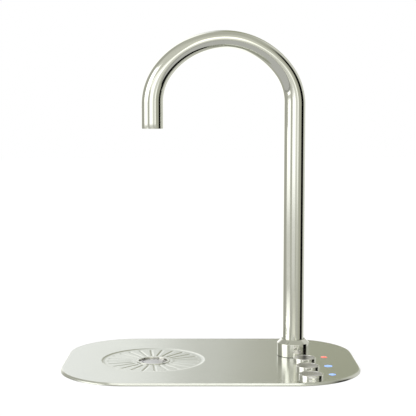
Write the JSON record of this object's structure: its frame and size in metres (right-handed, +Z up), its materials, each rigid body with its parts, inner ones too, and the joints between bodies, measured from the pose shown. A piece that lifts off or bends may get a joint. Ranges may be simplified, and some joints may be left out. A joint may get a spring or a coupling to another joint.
{
  "type": "countertop water dispenser",
  "caption": "Deck-mounted water dispenser: swan-neck spout on a collar, drain plate with pressed channels, push buttons and indicator lights.",
  "frame": {"origin": "centre of the plate's outline on the worktop surface", "axes": "+Z up, +X from the middle of the plate towards the buttons, +Y away from the user"},
  "size_m": [0.341, 0.231, 0.4962],
  "materials": {
    "brushed_plate": "fine horizontal brushing",
    "polished_steel": "polished",
    "satin_steel": "satin",
    "chrome": "polished",
    "button_top": "satin, dished",
    "zinc_steel": "zinc plated",
    "brass": "turned",
    "foam": "closed-cell foam",
    "seal_rubber": "matte",
    "black_plastic": "moulded",
    "white_plastic": "moulded acetal",
    "water_line": "translucent tube",
    "red_lens": "lit from behind",
    "blue_lens": "lit from behind",
    "lamp_epoxy": "clear epoxy"
  },
  "bodies": {
    "base": {"top_plate": "brushed_plate", "plate_gasket": "foam", "plate_studs": "zinc_steel", "stud_washers": "zinc_steel", "wing_nuts": "zinc_steel", "drain_cup": "polished_steel", "drain_seal": "seal_rubber", "drain_nut": "black_plastic", "spout_collar": "polished_steel", "collar_seal": "seal_rubber", "spout_shank": "brass", "swivel_stop_pin": "zinc_steel", "spout_retainer": "zinc_steel", "shank_seal": "seal_rubber", "shank_washer": "zinc_steel", "shank_nut": "brass", "button_body_hot": "chrome", "button_seal_hot": "seal_rubber", "button_nut_hot": "brass", "button_spring_hot": "zinc_steel", "button_switch_hot": "black_plastic", "indicator_lens_hot": "red_lens", "indicator_holder_hot": "black_plastic", "indicator_lamp_hot": "lamp_epoxy", "button_body_chilled": "chrome", "button_seal_chilled": "seal_rubber", "button_nut_chilled": "brass", "button_spring_chilled": "zinc_steel", "button_switch_chilled": "black_plastic", "indicator_lens_chilled": "blue_lens", "indicator_holder_chilled": "black_plastic", "indicator_lamp_chilled": "lamp_epoxy", "button_body_sparkling": "chrome", "button_seal_sparkling": "seal_rubber", "button_nut_sparkling": "brass", "button_spring_sparkling": "zinc_steel", "button_switch_sparkling": "black_plastic", "indicator_lens_sparkling": "blue_lens", "indicator_holder_sparkling": "black_plastic", "indicator_lamp_sparkling": "lamp_epoxy"},
    "spout": {"spout_tube": "polished_steel", "outlet_nozzle": "white_plastic", "swivel_bush": "white_plastic", "swivel_seals": "seal_rubber", "water_line_hot": "water_line", "water_line_chilled": "water_line", "water_line_sparkling": "water_line"},
    "strainer": {"drain_strainer": "satin_steel"},
    "hot_button": {"button_cap_hot": "button_top"},
    "chilled_button": {"button_cap_chilled": "button_top"},
    "sparkling_button": {"button_cap_sparkling": "button_top"}
  },
  "joints": [
    {"name": "spout_swivel", "type": "hinge", "parent": "base", "child": "spout", "pos_m": [0.0988, 0.022, 0], "axis": [0, 0, 1], "range_deg": [-60, 60]},
    {"name": "strainer_lift", "type": "slide", "parent": "base", "child": "strainer", "axis": [0, 0, 1], "range_m": [0, 0.03]},
    {"name": "hot_button_press", "type": "slide", "parent": "base", "child": "hot_button", "axis": [0, 0, -1], "range_m": [0, 0.0018], "stiffness_N_per_m": 500, "springref_m": -0.003, "deforming": ["button_spring_hot"]},
    {"name": "chilled_button_press", "type": "slide", "parent": "base", "child": "chilled_button", "axis": [0, 0, -1], "range_m": [0, 0.0018], "stiffness_N_per_m": 500, "springref_m": -0.003, "deforming": ["button_spring_chilled"]},
    {"name": "sparkling_button_press", "type": "slide", "parent": "base", "child": "sparkling_button", "axis": [0, 0, -1], "range_m": [0, 0.0018], "stiffness_N_per_m": 500, "springref_m": -0.003, "deforming": ["button_spring_sparkling"]}
  ]
}
